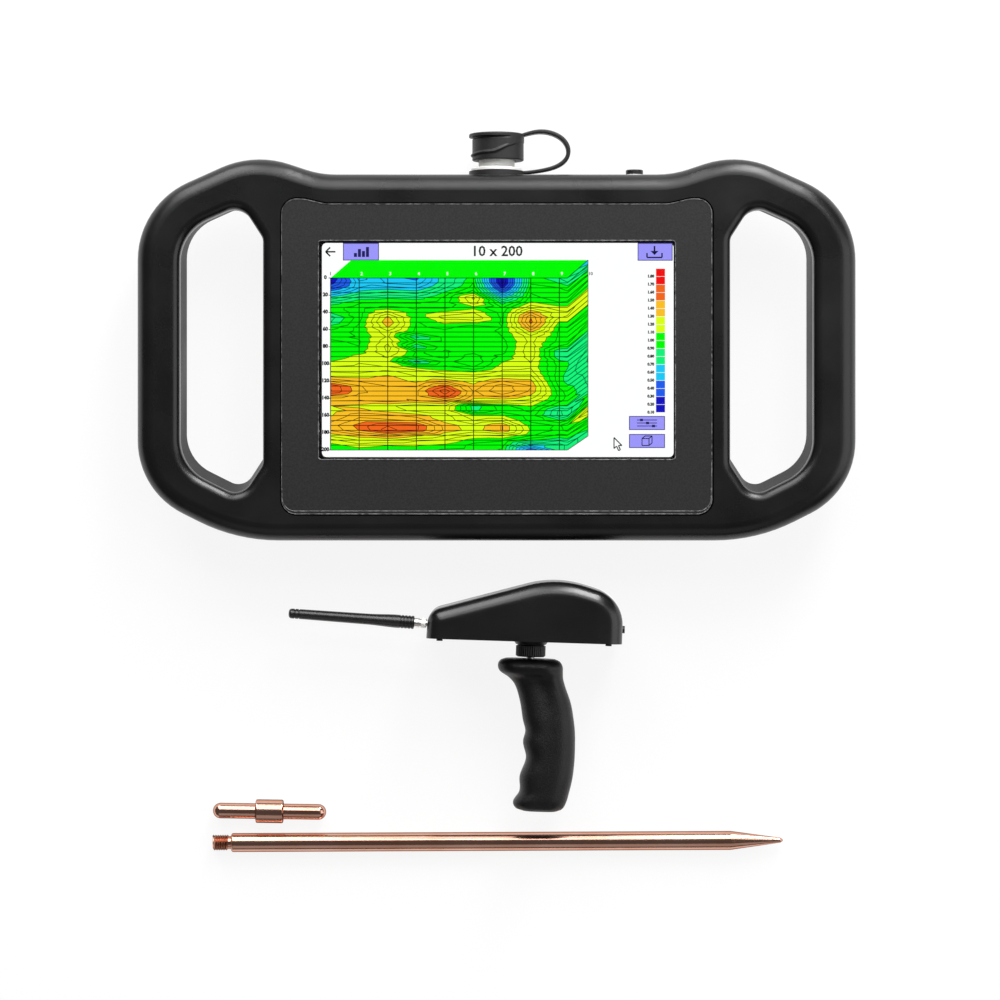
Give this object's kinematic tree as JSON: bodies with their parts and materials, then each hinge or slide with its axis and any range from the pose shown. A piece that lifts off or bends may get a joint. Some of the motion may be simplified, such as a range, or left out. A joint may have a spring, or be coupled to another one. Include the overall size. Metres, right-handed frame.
{
  "type": "groundwater detector kit",
  "caption": "Groundwater detector laid out flat: display console with hand holes, wireless wedge-shaped probe on a pistol grip, pointed copper ground electrode and its crossbar.",
  "frame": {"origin": "on the flat back of the console, under the middle of its screen window", "axes": "+X to the console's right, +Y to its top where the socket is, +Z out of its screen, up"},
  "size_m": [0.4408, 0.4479, 0.062],
  "materials": {
    "moulded_case": "satin moulded",
    "bezel_texture": "fine textured",
    "cover_glass": "polished",
    "display": "smooth film",
    "black_rubber": "moulded",
    "grip_rubber": "fine grain",
    "screw_steel": "zinc plated",
    "sheet_steel": "rolled",
    "circuit_board": "solder mask",
    "ribbon_film": "film",
    "cell_wrap": "shrink wrap",
    "nickel_plate": "bright nickel plate",
    "insulator": "moulded",
    "contact_gold": "plated",
    "button_black": "moulded",
    "probe_shell": "satin gloss moulded",
    "probe_moulding": "moulded",
    "coil_copper": "enamelled winding",
    "ferrite": "pressed",
    "electrode_copper": "polished copper"
  },
  "bodies": {
    "console": {"console_front_shell": "moulded_case", "console_rear_shell": "moulded_case", "shell_gasket": "black_rubber", "shell_screws": "screw_steel", "bezel_panel": "bezel_texture", "touch_glass": "cover_glass", "lcd_panel": "display", "lcd_bracket": "sheet_steel", "bracket_screws": "screw_steel", "main_board": "circuit_board", "board_screws": "screw_steel", "processor_shield": "sheet_steel", "radio_module": "sheet_steel", "display_ribbon": "ribbon_film", "battery_pack": "cell_wrap", "battery_bracket": "sheet_steel", "battery_screws": "screw_steel", "socket_shell": "nickel_plate", "socket_insert": "insulator", "socket_contacts": "contact_gold", "socket_nut": "nickel_plate", "cap_ring": "black_rubber", "cap_strap": "black_rubber", "button_bush": "nickel_plate", "button_nut": "nickel_plate", "power_switch": "insulator"},
    "power_button": {"power_button": "button_black"},
    "dust_cap": {"dust_cap": "black_rubber"},
    "probe": {"probe_cover": "probe_shell", "probe_base": "probe_moulding", "base_screws": "screw_steel", "probe_feet": "black_rubber", "probe_board": "circuit_board", "probe_board_screws": "screw_steel", "probe_battery": "cell_wrap", "coil_bobbin": "coil_copper", "coil_core": "ferrite", "probe_switch": "insulator", "antenna_jack": "nickel_plate", "jack_nut": "nickel_plate", "mount_boss": "probe_moulding", "mount_nut": "screw_steel", "mount_insert": "contact_gold"},
    "antenna": {"antenna_connector": "nickel_plate", "antenna_sheath": "black_rubber", "antenna_wire": "contact_gold"},
    "probe_button": {"probe_button": "button_black"},
    "lock_collar": {"lock_collar": "probe_moulding"},
    "grip": {"grip_stud": "nickel_plate", "grip_sleeve": "grip_rubber", "grip_core": "probe_moulding"},
    "rod": {"electrode_rod": "electrode_copper"},
    "crossbar": {"electrode_crossbar": "electrode_copper"}
  },
  "joints": [
    {"name": "power_button_press", "type": "slide", "parent": "console", "child": "power_button", "axis": [0, -1, 0], "range_m": [0, 0.0015], "stiffness_N_per_m": 800},
    {"name": "cap_pull", "type": "slide", "parent": "console", "child": "dust_cap", "axis": [0, 1, 0], "range_m": [0, 0.012], "deforming": ["cap_strap"]},
    {"name": "probe_lift", "type": "slide", "parent": "console", "child": "probe", "axis": [0, 0, 1], "range_m": [0, 0.12]},
    {"name": "rod_lift", "type": "slide", "parent": "console", "child": "rod", "axis": [0, 0, 1], "range_m": [0, 0.12]},
    {"name": "crossbar_lift", "type": "slide", "parent": "console", "child": "crossbar", "axis": [0, 0, 1], "range_m": [0, 0.12]},
    {"name": "antenna_turn", "type": "hinge", "parent": "probe", "child": "antenna", "pos_m": [-0.04247, -0.16769, 0.031], "axis": [-0.9973, 0.0732, 0], "continuous": true},
    {"name": "probe_button_press", "type": "slide", "parent": "probe", "child": "probe_button", "axis": [-0.9995, 0.0314, 0], "range_m": [0, 0.0008], "stiffness_N_per_m": 600},
    {"name": "lock_collar_turn", "type": "hinge", "parent": "probe", "child": "lock_collar", "pos_m": [0.0213, -0.1778, 0.031], "axis": [0.0314, 0.9995, 0], "continuous": true},
    {"name": "grip_turn", "type": "hinge", "parent": "probe", "child": "grip", "pos_m": [0.0213, -0.1778, 0.031], "axis": [0.0314, 0.9995, 0], "continuous": true}
  ]
}
